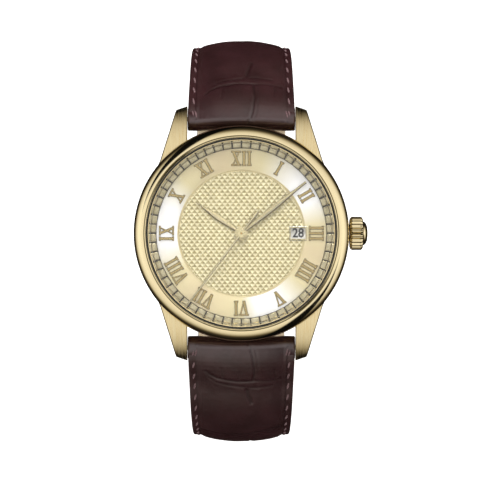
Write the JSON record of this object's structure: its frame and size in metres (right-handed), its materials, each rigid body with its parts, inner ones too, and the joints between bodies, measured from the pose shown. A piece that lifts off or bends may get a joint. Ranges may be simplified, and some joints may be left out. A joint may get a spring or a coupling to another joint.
{
  "type": "wristwatch",
  "caption": "Round gold-tone analogue wristwatch with a Roman-numeral dial, date window, fluted crown and an unfastened padded leather strap with a pin buckle.",
  "frame": {"origin": "on the flat outer face of the strap's tail, which rests on the table, straight under the centre of the dial", "axes": "+Z out of the dial, +Y towards 12 o'clock, +X towards the crown at 3 o'clock"},
  "size_m": [0.0436, 0.0774, 0.0625],
  "materials": {
    "gold_brushed": "stainless steel with a gold-tone coating, brushed lengthwise",
    "gold_polished": "stainless steel with a gold-tone coating, polished",
    "champagne": "champagne-coloured, satin sunray and stamped",
    "steel": "turned and satin",
    "brass": "machined",
    "glass": "clear mineral glass, slightly domed",
    "black_rubber": "moulded",
    "white_nylon": "moulded nylon",
    "copper": "enamelled copper wire, wound",
    "circuit": "glass-epoxy board",
    "date_white": "white printed disc",
    "leather": "dark burgundy-brown calf embossed with a large-scale grain, glossy",
    "lining": "smooth tan lining leather, matt"
  },
  "bodies": {
    "head": {"case_middle": "gold_brushed", "bezel": "gold_polished", "crystal": "glass", "crystal_gasket": "white_nylon", "chapter_ring": "champagne", "case_back": "steel", "case_back_gasket": "black_rubber", "crown_tube": "steel", "movement_holder": "white_nylon", "dial": "champagne", "date_window_frame": "steel", "numeral_ring": "champagne", "main_plate": "brass", "train_bridge": "steel", "date_ring_cover": "steel", "date_jumper": "steel", "circuit_board": "circuit", "quartz_can": "steel", "coil": "copper", "stator": "steel", "battery": "steel", "battery_clip": "brass", "bridge_screw_1": "steel", "bridge_screw_2": "steel"},
    "crown_slide": {"crown_gasket": "black_rubber"},
    "crown_and_stem": {"crown": "gold_polished", "winding_stem": "steel"},
    "setting_lever": {"setting_lever": "steel"},
    "seconds": {"seconds_hand": "gold_polished", "fourth_wheel": "brass"},
    "third_wheel": {"third_wheel": "brass"},
    "centre_wheel": {"centre_wheel": "brass"},
    "fifth_wheel": {"fifth_wheel": "brass"},
    "rotor": {"rotor": "steel"},
    "minutes": {"minute_hand": "gold_polished", "cannon_pinion": "steel"},
    "minute_wheel": {"minute_wheel": "brass"},
    "hours": {"hour_hand": "gold_polished", "hour_wheel": "brass"},
    "date_driving_wheel": {"date_driving_wheel": "brass"},
    "date_ring": {"date_ring": "date_white"},
    "strap_12": {"strap_12_leather": "leather", "strap_12_lining": "lining", "spring_bar_12_body": "steel", "fixed_keeper": "leather"},
    "strap_6": {"strap_6_leather": "leather", "strap_6_lining": "lining", "spring_bar_6_body": "steel"},
    "buckle": {"buckle_frame": "gold_polished", "buckle_bar": "steel"},
    "buckle_tongue": {"buckle_tongue": "gold_polished"},
    "free_keeper": {"free_keeper": "leather"},
    "pin_12_9_side": {"spring_bar_12_pin_9_side": "steel"},
    "pin_12_3_side": {"spring_bar_12_pin_3_side": "steel"},
    "pin_6_9_side": {"spring_bar_6_pin_9_side": "steel"},
    "pin_6_3_side": {"spring_bar_6_pin_3_side": "steel"}
  },
  "joints": [
    {"name": "strap_12_swing", "type": "hinge", "parent": "head", "child": "strap_12", "pos_m": [0, 0.0214, 0.056], "axis": [1, 0, 0], "range_deg": [-20, 75]},
    {"name": "strap_6_swing", "type": "hinge", "parent": "head", "child": "strap_6", "pos_m": [0, -0.0214, 0.056], "axis": [-1, 0, 0], "range_deg": [0, 75]},
    {"name": "buckle_swing", "type": "hinge", "parent": "strap_12", "child": "buckle", "pos_m": [0, 0.00433, 0.01159], "axis": [1, 0, 0], "range_deg": [-60, 30]},
    {"name": "tongue_swing", "type": "hinge", "parent": "buckle", "child": "buckle_tongue", "pos_m": [0, 0.00433, 0.01159], "axis": [1, 0, 0], "range_deg": [0, 65]},
    {"name": "free_keeper_slide", "type": "slide", "parent": "strap_12", "child": "free_keeper", "axis": [0, -0.9961, 0.0878], "range_m": [-0.001, 0.0015]},
    {"name": "crown_pull", "type": "slide", "parent": "head", "child": "crown_slide", "axis": [1, 0, 0], "range_m": [0, 0.0016]},
    {"name": "crown_turn", "type": "hinge", "parent": "crown_slide", "child": "crown_and_stem", "pos_m": [0.02, 0, 0.0571], "axis": [1, 0, 0], "continuous": true},
    {"name": "setting_lever_swing", "type": "hinge", "parent": "head", "child": "setting_lever", "pos_m": [0.009, 0.0045, 0.0564], "axis": [0, 0, 1], "range_deg": [0, 23]},
    {"name": "seconds_run", "type": "hinge", "parent": "head", "child": "seconds", "pos_m": [0, 0, 0.0568], "axis": [0, 0, -1], "continuous": true},
    {"name": "third_wheel_turn", "type": "hinge", "parent": "head", "child": "third_wheel", "pos_m": [-0.0018, 0.00312, 0.0568], "axis": [0, 0, -1], "continuous": true},
    {"name": "centre_wheel_turn", "type": "hinge", "parent": "head", "child": "centre_wheel", "pos_m": [0, 0, 0.057], "axis": [0, 0, -1], "continuous": true},
    {"name": "fifth_wheel_turn", "type": "hinge", "parent": "head", "child": "fifth_wheel", "pos_m": [0.00322, -0.00186, 0.0565], "axis": [0, 0, -1], "continuous": true},
    {"name": "rotor_turn", "type": "hinge", "parent": "head", "child": "rotor", "pos_m": [0.00427, -0.00368, 0.0563], "axis": [0, 0, -1], "continuous": true},
    {"name": "time_set", "type": "hinge", "parent": "head", "child": "minutes", "pos_m": [0, 0, 0.0588], "axis": [0, 0, -1], "continuous": true},
    {"name": "minute_wheel_turn", "type": "hinge", "parent": "head", "child": "minute_wheel", "pos_m": [0.001, 0.00173, 0.058], "axis": [0, 0, -1], "continuous": true},
    {"name": "hours_turn", "type": "hinge", "parent": "head", "child": "hours", "pos_m": [0, 0, 0.0588], "axis": [0, 0, -1], "continuous": true},
    {"name": "date_drive_turn", "type": "hinge", "parent": "head", "child": "date_driving_wheel", "pos_m": [-0.00339, -0.00339, 0.0581], "axis": [0, 0, -1], "continuous": true},
    {"name": "date_ring_turn", "type": "hinge", "parent": "head", "child": "date_ring", "pos_m": [0, 0, 0.0581], "axis": [0, 0, 1], "continuous": true},
    {"name": "pin_12_9_side_press", "type": "slide", "parent": "strap_12", "child": "pin_12_9_side", "axis": [1, 0, 0], "range_m": [0, 0.0009], "stiffness_N_per_m": 300, "springref_m": -0.0005},
    {"name": "pin_12_3_side_press", "type": "slide", "parent": "strap_12", "child": "pin_12_3_side", "axis": [-1, 0, 0], "range_m": [0, 0.0009], "stiffness_N_per_m": 300, "springref_m": -0.0005},
    {"name": "pin_6_9_side_press", "type": "slide", "parent": "strap_6", "child": "pin_6_9_side", "axis": [1, 0, 0], "range_m": [0, 0.0009], "stiffness_N_per_m": 300, "springref_m": -0.0005},
    {"name": "pin_6_3_side_press", "type": "slide", "parent": "strap_6", "child": "pin_6_3_side", "axis": [-1, 0, 0], "range_m": [0, 0.0009], "stiffness_N_per_m": 300, "springref_m": -0.0005}
  ],
  "couplings": [
    {"joint": "setting_lever_swing", "follows": "crown_pull", "rad_per_m": 243.78},
    {"joint": "third_wheel_turn", "follows": "seconds_run", "ratio": -0.13333},
    {"joint": "centre_wheel_turn", "follows": "seconds_run", "ratio": 0.016667},
    {"joint": "fifth_wheel_turn", "follows": "seconds_run", "ratio": -5},
    {"joint": "rotor_turn", "follows": "seconds_run", "ratio": 30},
    {"joint": "minute_wheel_turn", "follows": "time_set", "ratio": -0.33333},
    {"joint": "hours_turn", "follows": "time_set", "ratio": 0.083333},
    {"joint": "date_drive_turn", "follows": "time_set", "ratio": -0.041667}
  ]
}
